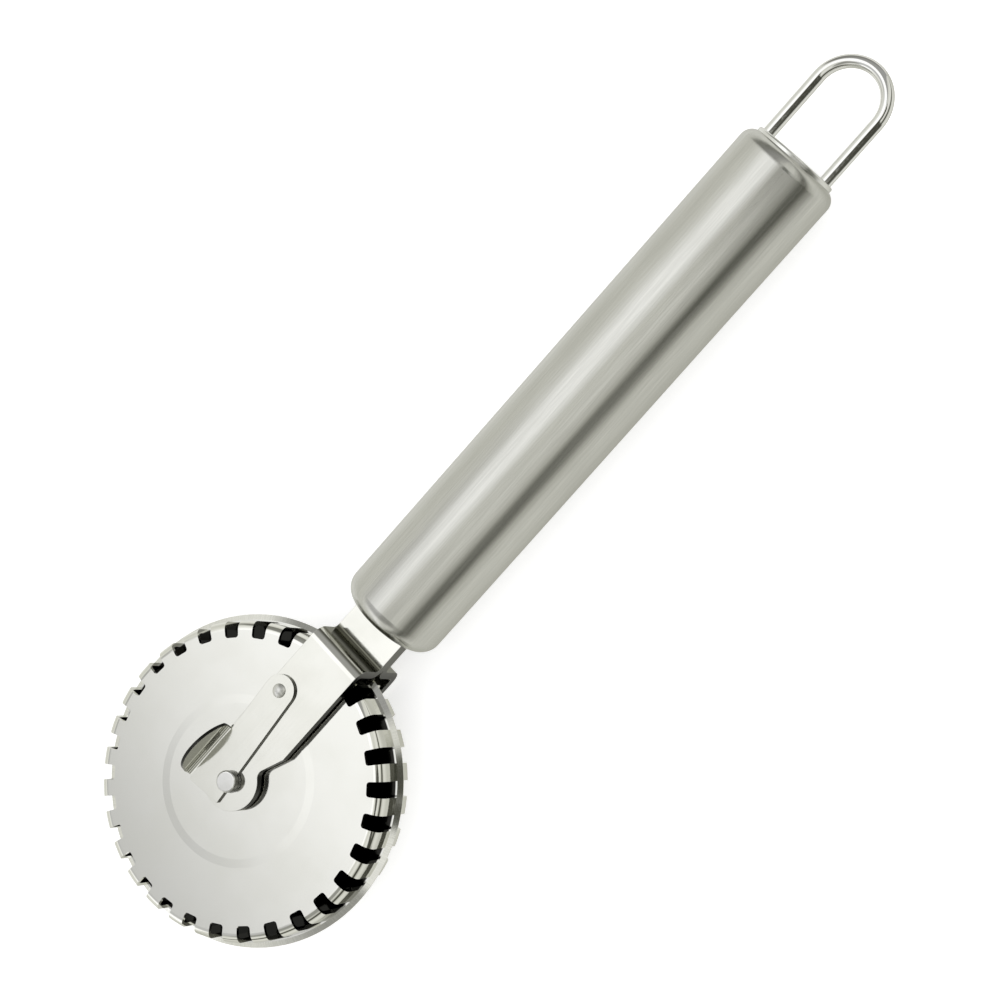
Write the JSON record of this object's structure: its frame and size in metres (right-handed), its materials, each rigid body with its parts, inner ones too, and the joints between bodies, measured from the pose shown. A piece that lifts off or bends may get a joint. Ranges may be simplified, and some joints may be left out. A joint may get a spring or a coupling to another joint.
{
  "type": "pastry cutter wheel",
  "caption": "Hand-held pastry wheel: a plain cutting blade between slotted crimping discs, in a fork with a quick-release axle pin, on a tubular steel handle with a hanging loop.",
  "frame": {"origin": "on the surface that the tool lies on, under the middle of its outline", "axes": "+X from the wheel along the handle to the hanging loop, +Z along the wheel's axis towards the release lever"},
  "size_m": [0.2, 0.061, 0.0243],
  "materials": {
    "ground_steel": "fine ground, with a brighter bevel along the edge",
    "mirror_steel": "mirror-polished stainless steel",
    "plain_steel": "as turned",
    "turned_steel": "turned and polished",
    "polished_plate": "polished stainless sheet",
    "brushed_handle": "satin brushed along the tube",
    "mirror_wire": "polished round wire"
  },
  "bodies": {
    "handle_and_fork": {"handle_tube": "brushed_handle", "end_cap": "brushed_handle", "hanging_loop": "mirror_wire", "near_fork_arm": "polished_plate", "far_fork_arm": "polished_plate", "axle_pin": "turned_steel", "lever_rivet": "turned_steel"},
    "wheel": {"cutting_blade": "ground_steel", "near_crimp_disc": "mirror_steel", "far_crimp_disc": "mirror_steel", "hub_sleeve": "plain_steel", "near_spacer": "plain_steel", "far_spacer": "plain_steel"},
    "lever": {"release_lever": "polished_plate"}
  },
  "joints": [
    {"name": "wheel_spin", "type": "hinge", "parent": "handle_and_fork", "child": "wheel", "pos_m": [-0.0695, 0, 0.0099], "axis": [0, 0, 1], "continuous": true},
    {"name": "lever_swing", "type": "hinge", "parent": "handle_and_fork", "child": "lever", "pos_m": [-0.0509, 0.0043, 0.01865], "axis": [0, 0, -1], "range_deg": [0, 90]}
  ]
}
